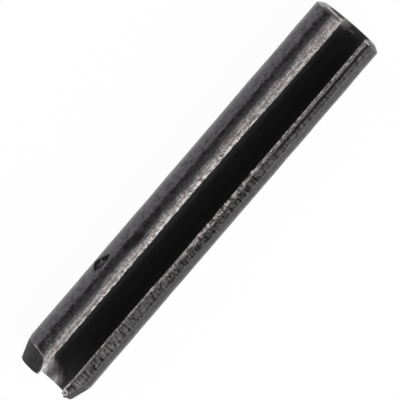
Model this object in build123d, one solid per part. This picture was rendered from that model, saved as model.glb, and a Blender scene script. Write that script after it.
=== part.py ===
from build123d import *
import os
from math import asin, cos, degrees, radians, sin

# Slotted spring pin, heavy duty: nominal size 8 mm by 50 mm, free, before it is driven into its hole.
# One strip of spring steel is rolled into an open C, so the pin is a single solid.
# It lies along X, with the tapered lead end at +X and the square drive end at -X.
# The slot opens upwards, towards +Z. The origin is on the pin's axis, half way along its length.
# Lengths are in millimetres and angles in degrees.

# the rolled strip
pin_length = 50.0  # from end to end
free_diameter = 8.5  # across the outside
wall = 1.5  # thickness of the strip
slot_width = 3.4  # between the strip's two inner corners, where the slot meets the bore

# the strip's two cut edges, which face each other across the slot
die_roll = 0.32  # rounding of the outer corner, where shearing drew the steel down
burr_rounding = 0.08  # rounding of the inner corner, where tumbling took the burr off

# the lead end, which starts the pin in its hole
lead_length = 2.35  # along the pin, from the lead face to the full diameter
lead_wall = 0.7  # what the taper leaves of the wall at the lead face
lead_nose = 0.28  # rounding between the lead face and the taper
lead_blend = 2.5  # rounding between the taper and the full diameter

# the drive end, which the hammer or press bears on
drive_chamfer_length = 0.44  # along the pin
drive_chamfer_depth = 0.72  # across the wall
drive_rounding = 0.3  # rounding of the chamfer's two edges

# a round pit in one flank, where a bit of scale came away
pit_diameter = 2.2
pit_depth = 0.22
pit_from_lead = 13.4  # along the pin, from the lead face to the pit's middle
pit_turn = 82.0  # round the pin, from the middle of the slot towards -Y

outer_radius = free_diameter / 2
bore_radius = outer_radius - wall
lead_face_x = pin_length / 2
drive_face_x = -pin_length / 2


def rolled_strip():
    """The strip, rolled to a C. Its two cut edges lie on radii of the pin."""
    half_slot = degrees(asin(slot_width / 2 / bore_radius))
    arc_start = 90 + half_slot
    arc_size = 360 - 2 * half_slot
    with BuildPart() as strip:
        with BuildSketch(Plane.YZ.offset(drive_face_x)) as section:
            with BuildLine():
                outside = CenterArc((0, 0), outer_radius, arc_start, arc_size)
                inside = CenterArc((0, 0), bore_radius, arc_start, arc_size)
                Line(outside @ 0, inside @ 0)
                Line(outside @ 1, inside @ 1)
            make_face()
            fillet(section.vertices().sort_by(SortBy.DISTANCE)[-2:], die_roll)
            fillet(section.vertices().sort_by(SortBy.DISTANCE)[:2], burr_rounding)
        extrude(amount=pin_length)
    return strip.part


def turned_envelope():
    """The outside form of both ends, turned about the pin's axis."""
    with BuildPart() as envelope:
        with BuildSketch(Plane.XZ):
            with BuildLine():
                outline = FilletPolyline(
                    (drive_face_x, 0),
                    (drive_face_x, outer_radius - drive_chamfer_depth),
                    (drive_face_x + drive_chamfer_length, outer_radius),
                    (lead_face_x - lead_length, outer_radius),
                    (lead_face_x, bore_radius + lead_wall),
                    (lead_face_x, 0),
                    radius=(drive_rounding, drive_rounding, lead_blend, lead_nose),
                )
                Line(outline @ 1, outline @ 0)
            make_face()
        revolve(axis=Axis.X)
    return envelope.part


def flank_pit():
    """A ball, sunk into the flank by the pit's depth."""
    ball_radius = (pit_diameter**2 / 4 + pit_depth**2) / (2 * pit_depth)
    from_axis = outer_radius - pit_depth + ball_radius
    middle = (
        lead_face_x - pit_from_lead,
        -from_axis * sin(radians(pit_turn)),
        from_axis * cos(radians(pit_turn)),
    )
    return Pos(*middle) * Sphere(ball_radius)


spring_roll_pin = (rolled_strip() & turned_envelope()) - flank_pit()

os.makedirs("parts", exist_ok=True)
export_step(spring_roll_pin, "parts/spring_roll_pin.step")
print(f"spring_roll_pin: {spring_roll_pin.volume:.1f} mm3")
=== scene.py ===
import math
from functools import partial

import bpy
from mathutils import Matrix, Vector


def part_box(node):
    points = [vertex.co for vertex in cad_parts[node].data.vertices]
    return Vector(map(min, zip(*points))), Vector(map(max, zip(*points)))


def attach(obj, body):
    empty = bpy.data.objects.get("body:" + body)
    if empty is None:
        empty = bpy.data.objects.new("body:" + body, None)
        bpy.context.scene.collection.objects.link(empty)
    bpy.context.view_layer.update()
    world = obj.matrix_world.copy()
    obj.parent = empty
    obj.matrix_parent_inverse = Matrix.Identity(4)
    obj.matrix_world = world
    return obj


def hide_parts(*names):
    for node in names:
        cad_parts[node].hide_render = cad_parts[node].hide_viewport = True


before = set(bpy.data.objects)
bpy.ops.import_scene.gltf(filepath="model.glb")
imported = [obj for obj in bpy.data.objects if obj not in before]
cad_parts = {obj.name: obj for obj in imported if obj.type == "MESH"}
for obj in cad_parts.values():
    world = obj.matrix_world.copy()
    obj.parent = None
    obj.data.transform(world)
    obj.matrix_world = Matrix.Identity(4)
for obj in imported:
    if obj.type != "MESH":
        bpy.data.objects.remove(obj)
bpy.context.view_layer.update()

mm = 0.001
scene = bpy.context.scene
scene.view_settings.view_transform = "Standard"

pinLow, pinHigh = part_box("spring_roll_pin")
pinLength = pinHigh[0] - pinLow[0]
pinRadius = (pinHigh[1] - pinLow[1]) / 2
floorHeight = pinLow[2]


# selecting by place, as with the mouse
def pickVertices(piece, wanted):
    bpy.ops.object.mode_set(mode="OBJECT")
    bpy.context.tool_settings.mesh_select_mode = (True, False, False)
    for part in (piece.data.polygons, piece.data.edges):
        part.foreach_set("select", [False] * len(part))
    piece.data.vertices.foreach_set("select", [bool(wanted(v.co)) for v in piece.data.vertices])
    bpy.ops.object.mode_set(mode="EDIT")


def pickEdges(piece, wanted):
    bpy.ops.object.mode_set(mode="OBJECT")
    bpy.context.tool_settings.mesh_select_mode = (False, True, False)
    points = piece.data.vertices
    for part in (piece.data.polygons, points):
        part.foreach_set("select", [False] * len(part))
    for edge in piece.data.edges:
        edge.select = bool(wanted(*(points[i].co for i in edge.vertices)))
        if edge.select:
            for i in edge.vertices:
                points[i].select = True
    bpy.ops.object.mode_set(mode="EDIT")


# the pin's strip lies flat: x along the pin, y from its outer side to its bore side, and z across it,
# with the -Y cut edge at side 1 and the +Y cut edge at side -1
strip = {
    "wall": 1.5 * mm,
    "slotWidth": 3.4 * mm,  # between the two inner corners
    "dieRoll": {1: 0.42 * mm, -1: 0.10 * mm},  # rounding that shearing left on the outer corners, by side
    "dieRollSteps": 6,
    "burrRounding": 0.06 * mm,
    "burrSteps": 3,
    "flare": -0.03 * mm,  # how far the broken part of a cut edge stands out into the slot
    "flareDepth": 0.5 * mm,  # how much of the wall broke, from the bore outwards
    "flareSteps": 5,
    "leadLength": 2.35 * mm,
    "leadWall": 0.70 * mm,  # wall left at the lead face
    "driveChamfer": (0.44 * mm, 0.72 * mm),  # along the pin and across the wall
    # radius and steps of each corner of the outline, from the drive face to the lead face
    "cornerRoundings": [(0.3 * mm, 5), (0.3 * mm, 5), (2.5 * mm, 5), (0.26 * mm, 6)],
    "lipStart": 1.33 * mm,  # the flat that the rolls left beside each cut edge
    "lipTilt": 12,  # degrees that it turns into the pin
    "lipBends": (3, 0.05 * mm),  # how many bends make its crease, and how far apart they are
    "lipReturn": (6, -2.7),  # how many bends curve it back towards its edge, and degrees each
    "lipReturnAt": (0.82, 0.11),  # where they begin, and how far apart they are, as shares of lipStart
    "skinSteps": 100,
    "boreSteps": 44,
    "cutSteps": 10,
    # rows cut across each length between two outline points, where it is longer than this
    "rows": [(10 * mm, 11), (2.5 * mm, 40), (1 * mm, 16)],
}


# a corner's rounding as points on an arc
def rounded(before, corner, after, radius, steps):
    toBefore = (Vector(before) - Vector(corner)).normalized()
    toAfter = (Vector(after) - Vector(corner)).normalized()
    half = toBefore.angle(toAfter) / 2
    centre = Vector(corner) + (toBefore + toAfter).normalized() * (radius / math.sin(half))
    first = Vector(corner) + toBefore * (radius / math.tan(half)) - centre
    last = Vector(corner) + toAfter * (radius / math.tan(half)) - centre
    sweep = first.angle_signed(last)
    return [centre + Matrix.Rotation(-sweep * step / steps, 2) @ first for step in range(steps + 1)]


def cutStrip():
    wall = strip["wall"]
    bore = pinRadius - wall
    middle = pinRadius - wall / 2
    slotArc = 2 * math.asin(strip["slotWidth"] / 2 / bore)
    width = middle * (2 * math.pi - slotArc)
    hair = 0.001 * mm
    driveEnd = -pinLength / 2

    # the strip's section stands at the drive end, outer side towards -Y
    bpy.ops.object.select_all(action="DESELECT")
    bpy.ops.mesh.primitive_plane_add(size=1, location=(driveEnd, 0, 0), rotation=(0, math.pi / 2, 0))
    pin = bpy.context.object
    pin.name = "rolledStrip"
    pin.scale = (width, wall, 1)
    bpy.ops.object.transform_apply(location=True, rotation=True, scale=True)
    for side, rounding in strip["dieRoll"].items():
        pickVertices(pin, lambda c: c.y < 0 and c.z * side > 0)
        bpy.ops.mesh.bevel(affect="VERTICES", offset=rounding, segments=strip["dieRollSteps"])
    pickVertices(pin, lambda c: c.y > 0)
    bpy.ops.mesh.bevel(affect="VERTICES", offset=strip["burrRounding"], segments=strip["burrSteps"])
    bpy.ops.mesh.select_all(action="SELECT")
    bpy.ops.mesh.delete(type="ONLY_FACE")
    pickEdges(pin, lambda a, b: max(a.y, b.y) < -wall / 2 + hair)
    bpy.ops.mesh.subdivide(number_cuts=strip["skinSteps"] - 1)
    pickEdges(pin, lambda a, b: min(a.y, b.y) > wall / 2 - hair)
    bpy.ops.mesh.subdivide(number_cuts=strip["boreSteps"] - 1)
    pickEdges(pin, lambda a, b: abs(a.y - b.y) > wall / 2)
    bpy.ops.mesh.subdivide(number_cuts=strip["cutSteps"] - 1)

    # the rolls leave a flat beside each cut edge, tilted into the pin
    flat = strip["lipStart"]
    count, apart = strip["lipBends"]
    bends = [(flat - apart * step, strip["lipTilt"] / count) for step in range(count)]
    count, tilt = strip["lipReturn"]
    first, apart = strip["lipReturnAt"]
    bends += [(flat * (first - apart * step), tilt) for step in range(count)]
    for fromEdge, tilt in bends:
        for side in (1, -1):
            hinge = side * (width / 2 - fromEdge)
            pickVertices(pin, lambda c: c.z * side > hinge * side)
            bpy.ops.transform.rotate(
                value=side * math.radians(tilt), orient_axis="X", center_override=(driveEnd, 0, hinge)
            )

    # the broken part of each cut edge stands out
    steps = strip["flareSteps"]
    for side in (1, -1):
        for step in range(steps):
            depth = wall / 2 - strip["flareDepth"] * (step + 1) / steps
            pickVertices(pin, lambda c: c.y > depth and c.z * side > width / 2 - 0.1 * mm)
            bpy.ops.transform.translate(value=(0, 0, side * strip["flare"] / steps))

    # the outline from the drive face to the lead face, along the pin and below the skin
    chamferLength, chamferDepth = strip["driveChamfer"]
    corners = [
        (0, wall),
        (0, chamferDepth),
        (chamferLength, 0),
        (pinLength - strip["leadLength"], 0),
        (pinLength, wall - strip["leadWall"]),
        (pinLength, wall),
    ]
    outline = []
    for i, (radius, steps) in enumerate(strip["cornerRoundings"]):
        outline += [tuple(point) for point in rounded(*corners[i : i + 3], radius, steps)]

    # drawn out along the pin, the wall thinned at both ends from the outside
    bpy.ops.object.mode_set(mode="EDIT")
    bpy.ops.mesh.select_all(action="SELECT")
    x, k = 0, 1
    for nextX, drop in outline:
        nextK = (wall - drop) / wall
        if nextX - x > hair / 10:
            bpy.ops.mesh.extrude_edges_move(TRANSFORM_OT_translate={"value": (nextX - x, 0, 0)})
        bpy.ops.transform.resize(value=(1, nextK / k, 1), center_override=(0, wall / 2, 0))
        x, k = nextX, nextK
    for longest, rows in strip["rows"]:
        pickEdges(pin, lambda a, b: abs(b.x - a.x) > longest)
        bpy.ops.mesh.subdivide(number_cuts=rows - 1)

    # end faces
    for end in (-driveEnd, driveEnd):
        pickEdges(pin, lambda a, b: abs(a.x - end) < hair and abs(b.x - end) < hair)
        bpy.ops.mesh.edge_face_add()
        bpy.ops.mesh.mark_sharp()
    bpy.ops.mesh.select_all(action="SELECT")
    bpy.ops.mesh.normals_make_consistent(inside=False)
    bpy.ops.object.mode_set(mode="OBJECT")
    print("strip cut:", len(pin.data.vertices), "vertices")
    return pin, width, middle


wear = {
    # "strength" is a layer's depth in mm, and "grain" its texture's size in mm along the pin, through the
    # wall and across the strip; "depth" is where it sets in through the wall and where it is full, and
    # "along" the same along the pin
    "bluntLeft": {
        "strength": 0.24,
        "axis": "Z",
        "depth": (-0.2 * mm, 0.6 * mm),
        "along": (-6 * mm, -19 * mm),  # the lip's inner corner hangs further into the slot here
    },
    "bluntRight": {
        "strength": 0.10,
        "axis": "Z",
        "depth": (-0.2 * mm, 0.6 * mm),
        "along": (14 * mm, 6 * mm),
        "more": (0.3, -8 * mm, -12 * mm),  # how much comes on top, and where
    },
    "teethLeft": {
        "strength": 0.12, "axis": "Z", "grain": (0.45, 1.0, 1.0), "detail": 2, "depth": (-0.1 * mm, 0.6 * mm)
    },
    "pitsRight": {
        "strength": 0.26,
        "axis": "Z",
        "grain": (0.34, 1.1, 1.0),
        "detail": 3,
        "depth": (0.7 * mm, 0.5 * mm),
        "along": (24.7 * mm, 24.0 * mm),
        "less": (0.6, -14 * mm, -18 * mm),  # how much goes, and where
    },
    "teethRight": {
        "strength": 0.26,
        "axis": "Z",
        "grain": (0.55, 0.7, 1.0),
        "detail": 3,
        "depth": (0.1 * mm, 0.6 * mm),
        "along": (24.7 * mm, 24.0 * mm),
        "least": 0.3,
        "ragged": ((6 * mm, 1 * mm), (-9 * mm, -5.5 * mm)),  # where it is full, from both ends
    },
    "skin": {"strength": 0.05, "axis": "Y", "grain": (3.0, 3.0, 1.8), "detail": 3, "fromEdge": 0.3 * mm},
    "pitHollow": {"strength": 0.38, "axis": "Y"},
    "contrast": 1.6,  # of the textures
    "cutBand": (0.3 * mm, 0.1 * mm),  # how near its edge a cut edge's wear sets in and is full
    # pushes at the lips: "by" is how far, by side, "from" where along the pin they start, "band" how near
    # the edge they take hold, and "spread" how far they die away
    "curlIn": {"by": {1: 0.30 * mm, -1: 0.12 * mm}, "from": 24.6 * mm, "band": 0.15 * mm, "spread": 2.2 * mm},
    "tipForward": {
        "by": 0.12 * mm, "from": 24.9 * mm, "band": 0.2 * mm, "halfWall": 0.3 * mm, "spread": 0.6 * mm
    },
    "cornerBack": {
        "by": {1: 0.14 * mm, -1: 0.30 * mm},
        "from": 24.9 * mm,
        "band": 0.1 * mm,
        "depth": 0.6 * mm,  # through the wall, from its middle towards the bore
        "spread": 0.4 * mm,
    },
    "waves": {
        # each one's side, place along the pin and depth
        "by": [(1, 1 * mm, 0.05 * mm), (-1, 3 * mm, 0.05 * mm), (-1, -16 * mm, 0.03 * mm)],
        "halfLength": 1.5 * mm,
        "band": 0.1 * mm,
        "spread": 7 * mm,
    },
    "pit": {
        "x": 11.35 * mm,
        "turn": 72.5,  # degrees round from the slot, to the line between its two tips
        "halfLength": 1.37 * mm,
        "peak": (0.70 * mm, 1.9 * mm),  # along the pin and away from the slot
        "sag": 0.5 * mm,  # how far its lower side bows towards the slot
        "slope": 0.5 * mm,
        "lump": (0.15 * mm, 0.65 * mm),  # a crumb of scale left in it
        "lumpHeight": 0.3,  # of the pit's depth
        "lumpSize": (0.15 * mm, 0.4 * mm),  # its top and its foot, from its middle
    },
}


# the pit's sides, each a line's outward direction and how far out it lies, and the arc below them, in mm
def pitSides():
    pit = wear["pit"]
    half, sag, peak = pit["halfLength"] / mm, pit["sag"] / mm, Vector(pit["peak"]) / mm
    sides = []
    for end in (half, -half):
        outward = (Vector((peak.y, end - peak.x)) * math.copysign(1, end)).normalized()
        sides.append((outward, outward.x * end))
    arcRadius = (half * half + sag * sag) / (2 * sag)
    return sides, Vector((0, arcRadius - sag)), arcRadius


# proportional editing, from the picked vertices outwards
def push(piece, wanted, move, spread):
    pickVertices(piece, wanted)
    bpy.ops.transform.translate(
        value=move, use_proportional_edit=True, proportional_edit_falloff="SMOOTH", proportional_size=spread
    )
    bpy.ops.object.mode_set(mode="OBJECT")


def displace(piece, name, weight):
    layer = wear[name]
    group = piece.vertex_groups.new(name=name)
    for vertex in piece.data.vertices:
        amount = weight(vertex.co)
        if amount > 0.01:
            group.add([vertex.index], min(amount, 1.0), "REPLACE")
    modifier = piece.modifiers.new(name, "DISPLACE")
    modifier.vertex_group = name
    modifier.direction = layer["axis"]
    modifier.strength = layer["strength"] * mm
    modifier.mid_level = 0
    if "grain" in layer:
        texture = bpy.data.textures.new(name, "CLOUDS")
        texture.noise_scale = 1
        texture.noise_depth = layer["detail"]
        texture.contrast = wear["contrast"]
        modifier.texture = texture
        modifier.mid_level = 0.5
        bpy.ops.object.empty_add(location=(0, 0, 0))
        sizer = bpy.context.object
        sizer.scale = [size * mm for size in layer["grain"]]
        bpy.context.view_layer.update()
        modifier.texture_coords = "OBJECT"
        modifier.texture_coords_object = sizer
    bpy.ops.object.select_all(action="DESELECT")
    bpy.context.view_layer.objects.active = piece
    piece.select_set(True)
    bpy.ops.object.modifier_apply(modifier=name)
    if "grain" in layer:
        bpy.data.objects.remove(sizer)


# rises smoothly from 0 to 1 between two values, or falls where the first is the larger
def ramp(value, low, high):
    u = min(max((value - low) / (high - low), 0.0), 1.0)
    return u * u * (3 - 2 * u)


def wearCutEdges(pin, edge):
    begins, full = wear["cutBand"]

    def onCut(c, side, name):
        return ramp(c.z * side, edge - begins, edge - full) * ramp(c.y, *wear[name]["depth"])

    def bluntRight(c):
        share, begins, full = wear["bluntRight"]["more"]
        amount = ramp(c.x, *wear["bluntRight"]["along"]) + share * ramp(c.x, begins, full)
        return onCut(c, -1, "bluntRight") * amount

    def pitsRight(c):
        share, begins, full = wear["pitsRight"]["less"]
        amount = ramp(c.x, *wear["pitsRight"]["along"]) * (1 - share * ramp(c.x, begins, full))
        return onCut(c, -1, "pitsRight") * amount

    def teethRight(c):
        least = wear["teethRight"]["least"]
        fromLead, fromDrive = wear["teethRight"]["ragged"]
        amount = least + (1 - least) * ramp(c.x, *fromLead) * ramp(c.x, *fromDrive)
        return onCut(c, -1, "teethRight") * ramp(c.x, *wear["teethRight"]["along"]) * amount

    displace(pin, "bluntLeft", lambda c: onCut(c, 1, "bluntLeft") * ramp(c.x, *wear["bluntLeft"]["along"]))
    displace(pin, "bluntRight", bluntRight)
    displace(pin, "teethLeft", lambda c: onCut(c, 1, "teethLeft"))
    displace(pin, "pitsRight", pitsRight)
    displace(pin, "teethRight", teethRight)
    print("cut edges worn")


def bendLips(pin, edge):
    # the swaged lead end curls its lips in
    curl = wear["curlIn"]
    for side, inwards in curl["by"].items():

        def onLip(c):
            return c.x > curl["from"] and c.z * side > edge - curl["band"]

        push(pin, onLip, (0, inwards, 0), curl["spread"])
    tip = wear["tipForward"]

    def onTip(c):
        return c.x > tip["from"] and c.z < tip["band"] - edge and abs(c.y) < tip["halfWall"]

    push(pin, onTip, (tip["by"], 0, 0), tip["spread"])
    corner = wear["cornerBack"]
    for side, back in corner["by"].items():

        def onCorner(c):
            return c.x > corner["from"] and c.z * side > edge - corner["band"] and c.y > corner["depth"]

        push(pin, onCorner, (-back, 0, -back * side / 2), corner["spread"])
    waves = wear["waves"]
    for side, along, back in waves["by"]:

        def onWave(c):
            return abs(c.x - along) < waves["halfLength"] and c.z * side > edge - waves["band"] and c.y > 0

        push(pin, onWave, (0, 0, -back * side), waves["spread"])
    print("lips bent")


# a pit where scale came away
def sinkPit(pin, middle):
    pit = wear["pit"]
    pitFrom = pinRadius * (math.pi - math.radians(pit["turn"]))
    sides, arcCentre, arcRadius = pitSides()
    top, foot = (size / mm for size in pit["lumpSize"])

    def inPit(c):
        if c.y > 0:
            return 0.0
        spot = Vector((c.x - pit["x"], pitFrom - c.z * pinRadius / middle)) / mm
        inside = min(reach - outward.dot(spot) for outward, reach in sides)
        inside = min(inside, arcRadius - (spot - arcCentre).length)
        lump = pit["lumpHeight"] * (1 - ramp((spot - Vector(pit["lump"]) / mm).length, top, foot))
        return ramp(inside, 0, pit["slope"] / mm) * (1 - lump)

    displace(pin, "pitHollow", inPit)
    print("pit sunk")


def rollStrip(pin, middle):
    extent = max(v.co.z for v in pin.data.vertices) - min(v.co.z for v in pin.data.vertices)
    roll = pin.modifiers.new("roll", "SIMPLE_DEFORM")
    roll.deform_method = "BEND"
    roll.deform_axis = "X"
    roll.angle = extent / middle
    bpy.ops.object.modifier_apply(modifier="roll")
    bpy.ops.object.mode_set(mode="EDIT")
    bpy.ops.mesh.select_all(action="SELECT")
    bpy.ops.transform.translate(value=(0, -middle, 0))
    bpy.ops.transform.rotate(value=-math.pi / 2, orient_axis="X", center_override=(0, 0, 0))
    bpy.ops.object.mode_set(mode="OBJECT")
    bpy.ops.object.shade_smooth_by_angle(angle=math.radians(40))
    lowest = [round(min(v.co[i] for v in pin.data.vertices) / mm, 3) for i in range(3)]
    highest = [round(max(v.co[i] for v in pin.data.vertices) / mm, 3) for i in range(3)]
    print("strip rolled: from", lowest, "to", highest)


pin, stripWidth, middleRadius = cutStrip()
stripEdge = stripWidth / 2
wearCutEdges(pin, stripEdge)
displace(pin, "skin", lambda c: 1.0 if c.y < 0 and abs(c.z) < stripEdge - wear["skin"]["fromEdge"] else 0.0)
bendLips(pin, stripEdge)
sinkPit(pin, middleRadius)
rollStrip(pin, middleRadius)
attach(pin, "root")
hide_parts("spring_roll_pin")

# black oxide over drawn and sheared spring steel: a thin matt black skin that lets the metal's dull
# sheen through and took unevenly, and paler steel where the shear broke it or handling rubbed it;
# the colour also holds painted light: a painted dark reflection beside the -Y cut edge, painted
# highlights, glints and shade along the cut edges and ends, and painted light inside the lead end
steel = {
    "skin": ("#403e41", "#615f62"),  # oxide over drawn steel, dull to bright
    "rolled": ("#232122", "#4b4849"),  # the flat beside the -Y cut edge, which the rolls left smooth, painted dark as the dark reflection it shows; the darker one also tones the swaged taper
    "bare": ("#605b5a", "#cdc6c5"),  # sheared steel under a thin oxide
    "brokenSteelAndHighlight": "#f2ebea",  # near white: where the last of the wall broke, and painted highlights and glints on the cut edges and lips
    "dim": ("#434142", "#a19e9e"),  # the +Y cut edge, scaled and pitted
    "scale": "#1b1a1a",  # black scale that fills the pits, also used as painted shade in hollows and on the drive end's chamfer
    "bore": ("#4e4e50", "#5d5d5f"),
    "boreGreySpot": "#9c9798",  # a thin grey patch inside the drive end
    "boreLitColour": "#cbc8c7",  # painted light on a patch just inside the lead end
    "skinRoughness": (0.27, 0.42),
    "cutRoughness": 0.58,
    "cutMetal": 0.6,  # broken steel scatters light as a dull solid does
    "swagedRoughness": 0.65,
    "swagedMetal": 0.2,
    "boreRoughness": (0.6, 0.45),  # oxided, and smoother under the lead end's painted light
    "pitRoughness": 0.85,
    "specular": (0.5, 0.08),  # everywhere, and in the pit
    "patterns": {  # size in mm, detail and roughness
        "blotch": (0.55, 5.0, 0.6),  # the oxide's blotches
        "grain": (0.22, 3.0, 0.6),  # drawn coarser than the real grain so that it shows
        "patches": (0.38, 3.0, 0.65),  # on the cut edges
        "drift": (4.0, 2.0, 0.5),  # slow change along the pin
        "nicks": (0.5, 2.0, 0.6),  # in the -Y cut edge
        "chips": (1.0, 2.0, 0.6),  # what broke out of the +Y cut edge
    },
    "shearLines": (0.26, 1.6),  # mm, spacing and length of the shear's lines
    "relief": {"grain": 0.010, "blotch": 0.012, "cutLines": 0.10, "cutGrain": 0.06, "pit": 0.05},  # mm
    # mm along the pin where the painted dark flat widens over the cut edge, its slant over the flat, and how
    # far from the edge it is at that place
    "flatWidening": (7.5, -0.9, 1.3),
    "flatWideningReach": (1.5, 0.5),  # mm to each side, gone and full
    "flatWideningAround": (-1.5, 6.5, 1.0),  # mm, the wider dark: its middle from there, gone and full
    "ring": (21.35, -3.82, 0.28),  # mm along the pin and round it, and the ring's radius
    "eye": (24.62, 0.30, 0.24),  # mm along the pin and from the bore, and the eye's radius
    "scratch": (16.3, 0.47, 0.16, 0.05),  # mm along the pin, slant over the +Y cut edge, and half widths
    "cutTo": (0.55, 0.30),  # mm round from the corner that a cut edge's look reaches, -Y and +Y
    "chipDepth": 0.16,  # mm of the wall that broke off bright in the +Y cut edge
    "taper": (22.72, 4.2, 1.15),  # mm along the pin, and how the line leans back below a radius of 4.2
    # the next four are in mm along the pin, across it, out from the bore and round from a cut edge: two
    # numbers are where a change sets in and where it is full, and three are a middle, with how far from
    # it the change is gone and how far from it the change is full
    "along": {
        "easierBreak": (17.0, 21.0),  # -Y cut edge
        "worked": (13.0, 8.0),
        "quieter": (-10.0, -13.5),
        "deeperTrough": (-5.0, -8.0),
        "combed": (-2.0, 7.0, 4.5),
        "brighter": (-0.5, 10.0, 6.0),
        "behindLead": (13.0, 9.0),  # +Y cut edge
        "smoother": (-6.0, -11.0),
        "ragged": (0.8, 9.8, 6.2),
        "fewerPits": (19.0, 21.5),
        "hollow": (23.2, 23.8),
        "fold": (-8.0, -11.0),
        "breakLess": (1.5, 4.0),
        "breakLeast": (20.0, 22.5),
        "second": (-6.0, -9.0),
        "curled": (23.0, 23.7),
        "chamfer": (-24.5, -24.65),
        "rim": (-24.93, 0.09, 0.04),
        "turned": (-24.78, 0.14, 0.06),
        "boreLitPatch": (22.5, 23.5),
        "greySpotBore": (-23.9, -24.3),
        "dash": (-24.35, 0.16, 0.06),
    },
    "across": {"boreLitPatch": (2.4, 1.5), "greySpotBore": (0.4, 0.75, 0.35), "dash": (1.35, 0.4, 0.2)},
    "fromBore": {
        "skin": (0.04, 0.12),
        "bore": (0.07, 0.01),
        "leftBreak": (0.85, 0.22),  # -Y cut edge
        "duller": (0.35, 1.25),
        "trough": (0.88, 0.5, 0.15),
        "combs": (0.25, 0.5),
        "brighter": (1.0, 0.6),
        "streaks": (0.25, 0.45),
        "worked": (1.2, 0.9),
        "quieter": (0.8, 0.4),
        "rightBreak": (0.09, -0.05),  # +Y cut edge, from the chips' own depth
        "outerScale": (1.12, 1.40),
        "hollow": (0.42, 0.26, 0.12),
        "fold": (0.77, 0.26, 0.10),
        "second": (0.40, 0.10, 0.03),
        "turned": (0.95, 0.75),
    },
    "fromEdge": {
        "flat": (0.52, 1.32),  # the dark flat
        "flatTo": (1.79, 1.65),
        "cut": (0.22, -0.22),  # from where the cut edge's look reaches to
        "darkSkin": (1.5, 0.15),
        "swaged": (0.0, 0.3),
        "taperLine": (2.7, 1.9),
        "chamfer": (2.8, 2.2),
        "chamferSheen": (2.3, 2.9),
        "chamferSheenTo": (6.0, 4.0),
        "turned": (0.25, 0.12),
        "bore": (-0.05, 0.12),
        "corner": (0.2, 0.08),
        "eye": (0.35, 0.2),
    },
    # where a pattern, which runs from 0 to 1, sets in as a mask and where it is full
    "shows": {
        "skin": (0.36, 0.64),
        "smudges": (0.34, 0.66),
        "bare": (0.36, 0.64),  # -Y cut edge
        "combs": (0.54, 0.44),
        "lowerStreaks": (0.38, 0.48),
        "upperStreaks": (0.43, 0.52),
        "brightFlecks": (0.50, 0.60),
        "dullFlecks": (0.46, 0.38),
        "glints": (0.45, 0.52),
        "dim": (0.38, 0.62),  # +Y cut edge
        "pits": (0.48, 0.42),
        "deepPits": (0.52, 0.44),
        "gaps": (0.44, 0.50),
        "glitter": (0.40, 0.52),
        "bitten": (0.50, 0.42),
        "swaged": (0.35, 0.65),
        "taperLine": (0.42, 0.52),
        "boreLitColour": (0.2, 0.7),
        "corner": (0.36, 0.5),
        "grime": (0.46, 0.54),
    },
    # how much a layer covers: where there are two numbers, one side of a change and the other
    "share": {
        "flatWidening": 0.6,
        "easierBreak": (1.0, 0.5),  # -Y cut edge
        "quieterBreak": (1.0, 0.3),
        "duller": 0.32,
        "trough": (0.28, 0.62),
        "combs": 0.75,
        "brighter": 0.85,
        "worked": (0.7, 1.0),
        "quieterWorked": (1.0, 0.6),
        "flecks": 0.55,
        "quieter": 0.4,
        "besideGlints": 0.4,
        "smootherTone": (0.5, 0.45),  # +Y cut edge: how much of its tone is evened out, and to what
        "fewerPits": (1.0, 0.55),
        "pits": (0.85, 0.35),
        "deepPits": 0.65,
        "outerScale": (0.68, 0.55),
        "hollow": 0.7,
        "fold": 0.8,
        "gaps": (0.55, 0.7),
        "bitten": 0.7,
        "breakLess": (1.0, 0.8),
        "breakLeast": 0.6,
        "second": 0.7,
        "scratch": 0.6,
        "darkSkin": (0.78, 0.5),
        "taperLine": (0.3, 0.6),
        "chamfer": 0.3,
        "rim": 0.6,
        "chamferSheen": 0.28,
        "ring": 0.22,
        "dash": 0.8,
        "eye": 0.9,
        "grime": 0.75,
        "lump": 0.85,
    },
    # how strongly patterns push a border about, in mm
    "stir": {
        "flatWidening": 0.9,
        "flatFrom": (1.3, 0.8),  # by blotches and by drift
        "flatTo": 0.25,
        "leftBreak": (0.9, 1.0),  # by the shear's lines and by patches
        "duller": 1.2,
        "teeth": (0.9, 1.6),  # by the shear's lines and by chips
        "second": 0.3,
        "cutReach": 1.4,
        "cut": (0.6, 0.3),  # by blotches and by the shear's lines
        "taper": 0.12,
        "ring": 0.12,
        "boreLitPatch": 1.2,
        "greySpotBore": 0.8,
        "pit": 0.4,
        "lump": 0.5,
    },
}

# the nodes in use, each with its kind and settings
nodeKinds = {
    "place": ("TexCoord", {}),
    "axes": ("SeparateXYZ", {}),
    "vector": ("CombineXYZ", {}),
    "noise": ("TexNoise", {}),
    "bump": ("Bump", {}),
    "rays": ("LightPath", {}),
    "glow": ("Emission", {}),
    "mixShaders": ("MixShader", {}),
    "mixColours": ("Mix", {"data_type": "RGBA"}),
    "mixValues": ("Mix", {"data_type": "FLOAT"}),
    "fade": ("MapRange", {"interpolation_type": "SMOOTHSTEP"}),
    "plus": ("Math", {"operation": "ADD"}),
    "plusToOne": ("Math", {"operation": "ADD", "use_clamp": True}),
    "minus": ("Math", {"operation": "SUBTRACT"}),
    "times": ("Math", {"operation": "MULTIPLY"}),
    "unsigned": ("Math", {"operation": "ABSOLUTE"}),
    "root": ("Math", {"operation": "SQRT"}),
    "angle": ("Math", {"operation": "ARCTAN2"}),
    "larger": ("Math", {"operation": "MAXIMUM"}),
    "smaller": ("Math", {"operation": "MINIMUM"}),
    "stretch": ("VectorMath", {"operation": "MULTIPLY"}),
    "offset": ("VectorMath", {"operation": "SUBTRACT"}),
    "reach": ("VectorMath", {"operation": "DOT_PRODUCT"}),
    "distance": ("VectorMath", {"operation": "DISTANCE"}),
}


def linearColour(code):
    parts = [int(code[i : i + 2], 16) / 255 for i in (1, 3, 5)]
    return (*[c / 12.92 if c <= 0.04045 else ((c + 0.055) / 1.055) ** 2.4 for c in parts], 1)


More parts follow.
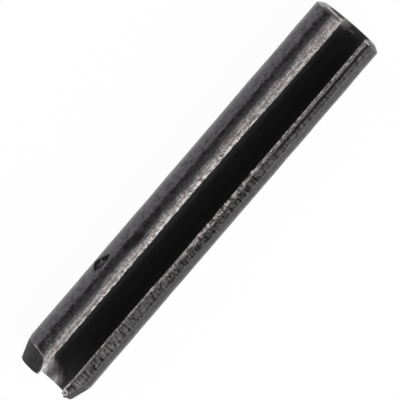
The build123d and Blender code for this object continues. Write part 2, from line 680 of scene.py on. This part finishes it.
# adds a node, links or sets its inputs in their order, and gives what comes out of it
def addNode(tree, name, *inputs):
    kind, settings = nodeKinds[name]
    made = tree.nodes.new("ShaderNode" + kind)
    for setting, value in settings.items():
        setattr(made, setting, value)
    for socket, value in zip([s for s in made.inputs if s.enabled], inputs):
        if isinstance(value, bpy.types.NodeSocket):
            tree.links.new(value, socket)
        elif value is not None:
            socket.default_value = linearColour(value) if isinstance(value, str) else value
    return next(s for s in made.outputs if s.enabled)


def oxideSteel():
    material = bpy.data.materials.new("blackOxideSpringSteel")
    material.use_nodes = True
    tree = material.node_tree
    shader = tree.nodes["Principled BSDF"]
    node = partial(addNode, tree)
    along, across, deep, aside = (steel[name] for name in ("along", "across", "fromBore", "fromEdge"))
    shows, share, stirs = steel["shows"], steel["share"], steel["stir"]
    dull, bright = steel["bare"]
    # the near-white colour serves the broken steel and the painted highlights and glints
    brokenSteelAndHighlight, scale = steel["brokenSteelAndHighlight"], steel["scale"]

    # patterns added up, each at its weight
    def weigh(*parts):
        total = node("times", *parts[0])
        for part in parts[1:]:
            total = node("plus", total, node("times", *part))
        return total

    # a value that patterns push up and down, each as far as it says
    def stir(value, *parts):
        for pattern, spread in parts:
            value = node("plus", value, node("times", node("minus", pattern, 0.5), spread))
        return value

    # full up to one distance from a place and gone at another
    def near(value, place, gone, full):
        return node("fade", node("unsigned", node("minus", value, place)), gone, full)

    # where all the masks are
    def where(mask, *others):
        for other in others:
            mask = node("times", mask, other)
        return mask

    def paint(under, colour, *masks):
        return node("mixColours", where(*masks), under, colour)

    # each point's place on the pin, in mm
    place = node("place").node.outputs["Object"]
    x, y, z = (node("times", axis, 1 / mm) for axis in node("axes", place).node.outputs)
    angle = node("angle", y, z)  # round from the middle of the slot
    radius = node("root", node("plus", node("times", y, y), node("times", z, z)))
    unrolled = node("vector", x, node("times", angle, pinRadius / mm), radius)
    halfSlot = math.asin(strip["slotWidth"] / 2 / (pinRadius - strip["wall"]))
    fromEdge = node("times", node("minus", node("unsigned", angle), halfSlot), pinRadius / mm)
    fromBore = node("minus", radius, (pinRadius - strip["wall"]) / mm)
    rightLip = node("fade", y, -0.2, 0.2)
    leftLip = node("minus", 1.0, rightLip)

    sizes = steel["patterns"].values()
    patterns = [node("noise", unrolled, 1 / size, detail, roughness) for size, detail, roughness in sizes]
    blotch, grain, patches, drift, nicks, chips = patterns
    spacing, length = steel["shearLines"]
    lines = node("noise", node("stretch", unrolled, (1 / spacing, 1 / length, 1 / length)), 1.0, 3.0, 0.6)
    clouds = weigh((blotch, 0.6), (grain, 0.4))

    # skin, with the dark flat beside the -Y cut edge painted dark as the reflection it shows: sharp where the
    # round begins, fuzzy towards the cut
    skin = node("mixColours", node("fade", clouds, *shows["skin"]), *steel["skin"])
    # where the painted dark flat widens over the cut edge
    flatWideningAt, slant, pivot = steel["flatWidening"]
    slanted = node("plus", node("minus", x, flatWideningAt), node("times", node("minus", fromEdge, pivot), slant))
    flatWidening = node("fade", stir(node("unsigned", slanted), (blotch, stirs["flatWidening"])), *steel["flatWideningReach"])
    behind, gone, full = steel["flatWideningAround"]
    nearFlatWidening = near(x, flatWideningAt + behind, gone, full)
    spread = node("plus", fromEdge, weigh((flatWidening, 0.35), (nearFlatWidening, 0.18)))
    byBlotch, byDrift = stirs["flatFrom"]
    flatFrom = node("fade", stir(spread, (blotch, byBlotch), (drift, byDrift)), *aside["flat"])
    flatTo = node("fade", stir(fromEdge, (blotch, stirs["flatTo"])), *aside["flatTo"])
    smudges = node("fade", weigh((grain, 0.35), (blotch, 0.65)), *shows["smudges"])
    # painted dark reflection on the flat beside the -Y cut edge, darkest where the flat widens
    rolled = node("mixColours", smudges, *steel["rolled"])
    rolled = paint(rolled, steel["rolled"][0], flatWidening, share["flatWidening"])
    skin = paint(skin, rolled, flatFrom, flatTo, leftLip)

    # the -Y cut edge: sheared, painted darker towards its outer corner and near white beside the bore, partly
    # the broken steel's paler colour and partly painted light, with painted glints
    quieter = node("fade", x, *along["quieter"])
    byLines, byPatches = stirs["leftBreak"]
    leftBreak = node("fade", stir(fromBore, (lines, byLines), (patches, byPatches)), *deep["leftBreak"])
    easier = node("mixValues", node("fade", x, *along["easierBreak"]), *share["easierBreak"])
    leftBreak = where(leftBreak, easier, node("mixValues", quieter, *share["quieterBreak"]))
    mottle = weigh((grain, 0.45), (lines, 0.15), (patches, 0.4))
    bare = node("mixColours", node("fade", mottle, *shows["bare"]), dull, bright)
    # painted shade: the sheared face darker away from the bore
    duller = node("fade", stir(fromBore, (patches, stirs["duller"])), *deep["duller"])
    bare = paint(bare, dull, duller, share["duller"])
    deeper = node("mixValues", node("fade", x, *along["deeperTrough"]), *share["trough"])
    bare = paint(bare, dull, near(fromBore, *deep["trough"]), deeper)
    combs = node("times", node("fade", lines, *shows["combs"]), node("fade", fromBore, *deep["combs"]))
    bare = paint(bare, dull, near(x, *along["combed"]), combs, share["combs"])
    lower, upper = node("fade", mottle, *shows["lowerStreaks"]), node("fade", lines, *shows["upperStreaks"])
    streaks = node("mixValues", node("fade", fromBore, *deep["streaks"]), lower, upper)
    # painted highlight: bright streaks beside the bore
    brighter = node("times", near(x, *along["brighter"]), node("fade", fromBore, *deep["brighter"]))
    bare = paint(bare, brokenSteelAndHighlight, brighter, streaks, share["brighter"])
    worked = node("mixValues", node("fade", x, *along["worked"]), *share["worked"])
    lessWorked = node("mixValues", quieter, *share["quieterWorked"])
    worked = where(worked, node("fade", fromBore, *deep["worked"]), lessWorked)
    flecks = weigh((nicks, 0.6), (grain, 0.4))
    bare = paint(bare, brokenSteelAndHighlight, worked, node("fade", flecks, *shows["brightFlecks"]), share["flecks"])
    bare = paint(bare, dull, worked, node("fade", flecks, *shows["dullFlecks"]), share["flecks"])
    bare = paint(bare, dull, quieter, node("fade", fromBore, *deep["quieter"]), share["quieter"])
    # painted glints in the band beside the bore
    glints = node("fade", weigh((grain, 0.3), (lines, 0.2), (nicks, 0.5)), *shows["glints"])
    bare = paint(bare, dull, leftBreak, node("minus", 1.0, glints), share["besideGlints"])
    bare = paint(bare, brokenSteelAndHighlight, leftBreak, glints)

    # the +Y cut edge: chipped along the bore under a painted highlight with painted glints, pitted and
    # scaled, with painted shade along a step towards the drive end and in a hollow near the lead tip
    behindLead = node("fade", x, *along["behindLead"])
    smoother = node("fade", x, *along["smoother"])
    ragged = near(x, *along["ragged"])
    chipSize = node("plus", 0.14, weigh((behindLead, 0.14), (ragged, 0.7)))
    byLines, byChips = stirs["teeth"]
    chipTeeth = node("times", stir(0.0, (lines, byLines), (chips, byChips)), chipSize)
    chipDepth = weigh((behindLead, 0.12), (ragged, 0.28), (smoother, -0.07))
    chipDepth = node("plus", steel["chipDepth"], chipDepth)
    pastChips = node("minus", node("plus", fromBore, chipTeeth), chipDepth)
    rightBreak = node("fade", pastChips, *deep["rightBreak"])
    evened, evenTone = share["smootherTone"]
    dimTone = node("fade", weigh((grain, 0.4), (lines, 0.6)), *shows["dim"])
    dimTone = node("mixValues", node("times", smoother, evened), dimTone, evenTone)
    dim = node("mixColours", dimTone, *steel["dim"])
    pits = node("fade", weigh((lines, 0.3), (blotch, 0.45), (patches, 0.25)), *shows["pits"])
    fewer = node("mixValues", node("fade", x, *along["fewerPits"]), *share["fewerPits"])
    dim = paint(dim, scale, pits, fewer, node("mixValues", smoother, *share["pits"]))
    deepPits = node("fade", weigh((patches, 0.6), (chips, 0.4)), *shows["deepPits"])
    dim = paint(dim, scale, deepPits, ragged, share["deepPits"])
    outerScale = node("fade", fromBore, *deep["outerScale"])
    dim = paint(dim, scale, outerScale, node("mixValues", smoother, *share["outerScale"]))
    # painted shade: dark in the hollow near the lead tip and along a step towards the drive end
    for name in ("hollow", "fold"):
        dim = paint(dim, scale, node("fade", x, *along[name]), near(fromBore, *deep[name]), share[name])
    # painted highlight with painted glints where the edge chipped along the bore
    gaps = node("fade", weigh((ragged, 0.05), (chips, 0.5), (grain, 0.5)), *shows["gaps"])
    glitter = node("fade", weigh((ragged, 0.08), (grain, 1.0)), *shows["glitter"])
    broken = node("mixColours", glitter, steel["dim"][1], brokenSteelAndHighlight)
    broken = paint(broken, scale, node("minus", 1.0, gaps), node("mixValues", ragged, *share["gaps"]))
    broken = paint(broken, scale, ragged, node("fade", chips, *shows["bitten"]), share["bitten"])
    breakShare = node("mixValues", node("fade", x, *along["breakLess"]), *share["breakLess"])
    breakShare = node("mixValues", node("fade", x, *along["breakLeast"]), breakShare, share["breakLeast"])
    dim = paint(dim, broken, rightBreak, breakShare)
    middle, gone, full = deep["second"]
    second = near(fromBore, stir(middle, (chips, stirs["second"])), gone, full)  # a second bright line, a painted highlight
    dim = paint(dim, brokenSteelAndHighlight, second, node("fade", x, *along["second"]), share["second"])
    scratchAt, slant, gone, full = steel["scratch"]
    scratch = near(x, node("plus", scratchAt, node("times", fromBore, slant)), gone, full)
    dim = paint(dim, steel["dim"][1], scratch, share["scratch"])

    # the cut edges' look reaches a little way round their corners
    byBlotch, byLines = stirs["cut"]
    leftReach = stir(steel["cutTo"][0], (drift, stirs["cutReach"]))
    leftReach = node("minus", leftReach, weigh((flatWidening, 0.25), (nearFlatWidening, 0.14)))
    cutReach = node("mixValues", rightLip, leftReach, steel["cutTo"][1])
    reached = node("minus", stir(fromEdge, (blotch, byBlotch), (lines, byLines)), cutReach)
    cut = node("fade", reached, *aside["cut"])
    darkSkin = node("fade", fromEdge, *aside["darkSkin"])
    skin = paint(skin, scale, rightLip, darkSkin, node("mixValues", smoother, *share["darkSkin"]))
    colour = paint(skin, node("mixColours", rightLip, bare, dim), cut)

    # the taper is swaged smooth, and wraps onto the -Y cut edge behind a bright line, a painted highlight
    taperFrom, leanBelow, lean = steel["taper"]
    leaning = node("larger", node("minus", leanBelow, radius), 0.0)
    taperLine = node("plus", taperFrom, node("times", leaning, lean))
    pastTaper = stir(node("minus", x, taperLine), (blotch, stirs["taper"]))
    onRight = node("mixValues", rightLip, 1.0, node("fade", fromEdge, *aside["swaged"]))
    swaged = where(node("fade", pastTaper, 0.0, 0.12), node("fade", fromBore, *deep["skin"]), onRight)
    tone = node("fade", clouds, *shows["swaged"])
    swagedColour = node("mixColours", tone, steel["rolled"][0], steel["skin"][0])
    colour = paint(colour, swagedColour, swaged)
    # painted highlight along the taper's edge
    taperEdge = node("fade", node("unsigned", pastTaper), 0.10, 0.03)
    taperEdge = where(taperEdge, leftLip, node("fade", fromEdge, *aside["taperLine"]))
    glints = node("fade", grain, *shows["taperLine"])
    colour = paint(colour, bright, taperEdge, node("mixValues", glints, *share["taperLine"]))

    # painted light at the drive end: painted shade over the chamfer, a painted highlight where it meets the
    # face, a painted sheen on part of it, and a painted highlight where the +Y lip turns
    # painted shade and painted highlights on the drive end's chamfer
    onChamfer = node("times", node("fade", x, *along["chamfer"]), leftLip)
    chamfered = node("times", onChamfer, node("fade", fromEdge, *aside["chamfer"]))
    colour = paint(colour, scale, chamfered, share["chamfer"])
    colour = paint(colour, bright, near(x, *along["rim"]), chamfered, share["rim"])
    # painted sheen on the chamfer
    chamferSheen = node("times", onChamfer, node("fade", fromEdge, *aside["chamferSheen"]))
    colour = paint(colour, bright, chamferSheen, node("fade", fromEdge, *aside["chamferSheenTo"]), share["chamferSheen"])
    turned = node("times", near(x, *along["turned"]), rightLip)
    turned = where(turned, node("fade", fromEdge, *aside["turned"]), node("fade", fromBore, *deep["turned"]))
    colour = paint(colour, brokenSteelAndHighlight, turned, gaps)

    # a faint ring near the lead end
    ringAlong, ringRound, ringRadius = steel["ring"]
    fromRing = node("distance", unrolled, (ringAlong, ringRound, pinRadius / mm))
    ring = near(fromRing, stir(ringRadius, (patches, stirs["ring"])), 0.12, 0.02)
    colour = paint(colour, steel["dim"][1], ring, share["ring"])

    # bore, with painted light on a patch inside the lead end and a thin grey patch inside the drive end
    inBore = node("fade", fromBore, *deep["bore"])
    inBore = node("times", inBore, node("fade", fromEdge, *aside["bore"]))
    # painted light where light comes in at the open lead end
    worn = stir(node("plus", x, node("times", y, -0.5)), (blotch, stirs["boreLitPatch"]))
    worn = node("times", node("fade", worn, *along["boreLitPatch"]), node("fade", y, *across["boreLitPatch"]))
    bore = node("mixColours", blotch, *steel["bore"])
    lip = node("mixColours", node("fade", blotch, *shows["boreLitColour"]), steel["bore"][1], steel["boreLitColour"])
    bore = paint(bore, lip, worn)
    # a grey spot inside the drive end
    greySpot = node("fade", stir(x, (blotch, stirs["greySpotBore"])), *along["greySpotBore"])
    greySpot = node("times", greySpot, near(y, *across["greySpotBore"]))
    dash = where(near(x, *along["dash"]), near(y, *across["dash"]), share["dash"])
    bore = paint(bore, steel["boreGreySpot"], node("larger", greySpot, dash))
    colour = paint(colour, bore, inBore)

    # the lips, curled in at the lead end, get a painted highlight along their inner corners
    # painted highlight along the lips' inner corners at the lead end
    corner = node("fade", node("unsigned", fromEdge), *aside["corner"])
    gone, full = node("mixValues", rightLip, 0.06, 0.22), node("mixValues", rightLip, -0.06, 0.06)
    corner = where(node("fade", x, *along["curled"]), corner, node("fade", fromBore, gone, full))
    colour = paint(colour, brokenSteelAndHighlight, corner, node("fade", grain, *shows["corner"]))

    # the tip of the +Y lip turns in on itself like an eye, with painted shade inside it and a painted
    # highlight round it
    eyeAlong, eyeUp, eyeRadius = steel["eye"]
    fromEye = node("distance", node("vector", x, fromBore), (eyeAlong, eyeUp, 0))
    onTip = node("times", rightLip, node("fade", fromEdge, *aside["eye"]))
    # painted shade inside the eye and a painted highlight round it
    colour = paint(colour, scale, onTip, node("fade", fromEye, eyeRadius - 0.04, eyeRadius - 0.12))
    colour = paint(colour, brokenSteelAndHighlight, onTip, near(fromEye, eyeRadius, 0.14, 0.05), share["eye"])

    # the pit, black with scale and a few grey crumbs
    pit = wear["pit"]
    sides, arcCentre, arcRadius = pitSides()
    pitMiddle = (pit["x"] / mm, -math.radians(pit["turn"]) * pinRadius / mm, pinRadius / mm)
    spot = node("offset", unrolled, pitMiddle)
    inside = node("minus", arcRadius, node("distance", spot, (arcCentre.x, -arcCentre.y, 0)))
    for outward, reach in sides:
        out = node("reach", spot, (outward.x, -outward.y, 0))
        inside = node("smaller", inside, node("minus", reach, out))
    pitted = node("fade", stir(inside, (grain, stirs["pit"])), 0.0, 0.16)
    grime = node("fade", weigh((grain, 0.5), (patches, 0.5)), *shows["grime"])
    pitColour = paint(scale, steel["skin"][1], node("fade", inside, 0.16, 0.3), grime, share["grime"])
    fromLump = node("distance", spot, (pit["lump"][0] / mm, -pit["lump"][1] / mm, 0))
    speck = node("fade", stir(fromLump, (patches, stirs["lump"])), 0.42, 0.2)
    pitColour = paint(pitColour, steel["dim"][1], speck, share["lump"])
    colour = paint(colour, pitColour, pitted)

    boreRoughness = node("mixValues", worn, *steel["boreRoughness"])
    roughness = node("mixValues", grain, *steel["skinRoughness"])
    roughness = node("mixValues", cut, roughness, steel["cutRoughness"])
    roughness = node("mixValues", swaged, roughness, steel["swagedRoughness"])
    roughness = node("mixValues", inBore, roughness, boreRoughness)
    roughness = node("mixValues", pitted, roughness, steel["pitRoughness"])
    metallic = node("mixValues", cut, 1.0, steel["cutMetal"])
    metallic = node("mixValues", swaged, metallic, steel["swagedMetal"])
    metallic = node("mixValues", pitted, metallic, 0.0)

    # relief, in millimetres
    heights = steel["relief"]
    relief = weigh((grain, heights["grain"]), (blotch, heights["blotch"]))
    cutRelief = weigh((lines, heights["cutLines"]), (grain, heights["cutGrain"]))
    relief = node("plus", relief, where(cut, node("minus", 1.0, swaged), cutRelief))
    relief = node("minus", relief, node("times", pitted, heights["pit"]))

    made = {
        "Base Color": colour,
        "Roughness": roughness,
        "Metallic": metallic,
        "Specular IOR Level": node("mixValues", pitted, *steel["specular"]),
        "Normal": node("bump", 1.0, mm, None, relief),
    }
    for name, value in made.items():
        tree.links.new(value, shader.inputs[name])
    return material


pin.data.materials.append(oxideSteel())
print("steel made")

camera = {
    "distance": 900 * mm,
    "frameWidth": 42.65 * mm,  # what the picture spans at the pin
    "sensor": 36 * mm,
    "overSlot": 16.9,  # degrees that the camera stands round from the slot, towards -Y
    "overDrive": 5.0,  # degrees that it leans towards the drive end
    "pinSlope": 49.4,  # degrees between the pin and the picture's lower edge
    "offCentre": (2.35, 1.89),  # pixels that the pin's middle lies left of and below the picture's
    "pixels": 400,  # across the picture
    "clip": (50 * mm, 20),
}


def addCamera():
    lean = math.radians(camera["overDrive"])
    turn = math.radians(camera["overSlot"])
    slope = math.radians(camera["pinSlope"])
    toCamera = Vector((-math.sin(lean), -math.cos(lean) * math.sin(turn), math.cos(lean) * math.cos(turn)))
    alongPin = Vector((-1, 0, 0))
    alongPin = (alongPin - toCamera * alongPin.dot(toCamera)).normalized()
    acrossPin = toCamera.cross(alongPin)
    right = math.cos(slope) * alongPin - math.sin(slope) * acrossPin
    up = math.sin(slope) * alongPin + math.cos(slope) * acrossPin
    data = bpy.data.cameras.new("camera")
    data.sensor_width = camera["sensor"] / mm
    data.lens = data.sensor_width * camera["distance"] / camera["frameWidth"]
    data.clip_start, data.clip_end = camera["clip"]
    body = bpy.data.objects.new("camera", data)
    scene.collection.objects.link(body)
    pixel = camera["frameWidth"] / camera["pixels"]
    offRight, offUp = camera["offCentre"]
    aim = right * offRight * pixel + up * offUp * pixel
    place = Matrix((right, up, toCamera)).transposed().to_4x4()
    place.translation = aim + toCamera * camera["distance"]
    body.matrix_world = place
    scene.camera = body
    print("camera placed")


addCamera()

stage = {
    "floorSize": 3,
    "paper": 0.9,
    "whiteness": 0.97,  # how much of the floor is paper white whatever falls on it
    "world": 0.16,
    # degrees round from the camera, towards +Y
    "lamps": {
        "key": {"angle": 62, "distance": 0.8, "size": (1.1, 1.0), "power": 10.0},
        "top": {"angle": -36, "distance": 0.8, "size": (0.4, 0.25), "power": 1.5},
    },
}


# matt white paper: an even ground that shows the pin's shadow faintly, and is white in the metal too
def whitePaper():
    paper = bpy.data.materials.new("whitePaper")
    paper.use_nodes = True
    tree = paper.node_tree
    base = tree.nodes["Principled BSDF"]
    base.inputs["Base Color"].default_value = (*[stage["paper"]] * 3, 1)
    base.inputs["Roughness"].default_value = 0.9
    base.inputs["Specular IOR Level"].default_value = 0
    rays = addNode(tree, "rays").node.outputs
    seen = addNode(tree, "plus", rays["Is Camera Ray"], rays["Is Glossy Ray"])
    seen = addNode(tree, "plusToOne", seen, rays["Is Transmission Ray"])
    seen = addNode(tree, "times", seen, stage["whiteness"])
    mixed = addNode(tree, "mixShaders", seen, base.outputs[0], addNode(tree, "glow", "#ffffff", 1.0))
    tree.links.new(mixed, tree.nodes["Material Output"].inputs["Surface"])
    return paper


def areaLight(name, angle, distance, size, power):
    turn = math.radians(angle - camera["overSlot"])
    toLamp = Vector((0, math.sin(turn), math.cos(turn)))
    data = bpy.data.lights.new(name, "AREA")
    data.shape = "RECTANGLE"
    data.size, data.size_y = size
    data.energy = power
    lamp = bpy.data.objects.new(name, data)
    scene.collection.objects.link(lamp)
    lamp.location = toLamp * distance
    lamp.rotation_euler = toLamp.to_track_quat("Z", "Y").to_euler()


bpy.ops.mesh.primitive_plane_add(size=stage["floorSize"], location=(0, 0, floorHeight))
floor = bpy.context.object
floor.name = "floor"
floor.data.materials.append(whitePaper())
world = bpy.data.worlds.new("studio")
scene.world = world
world.use_nodes = True
world.node_tree.nodes["Background"].inputs["Color"].default_value = (*[stage["world"]] * 3, 1)
for lampName, lamp in stage["lamps"].items():
    areaLight(lampName, **lamp)
print("stage set")
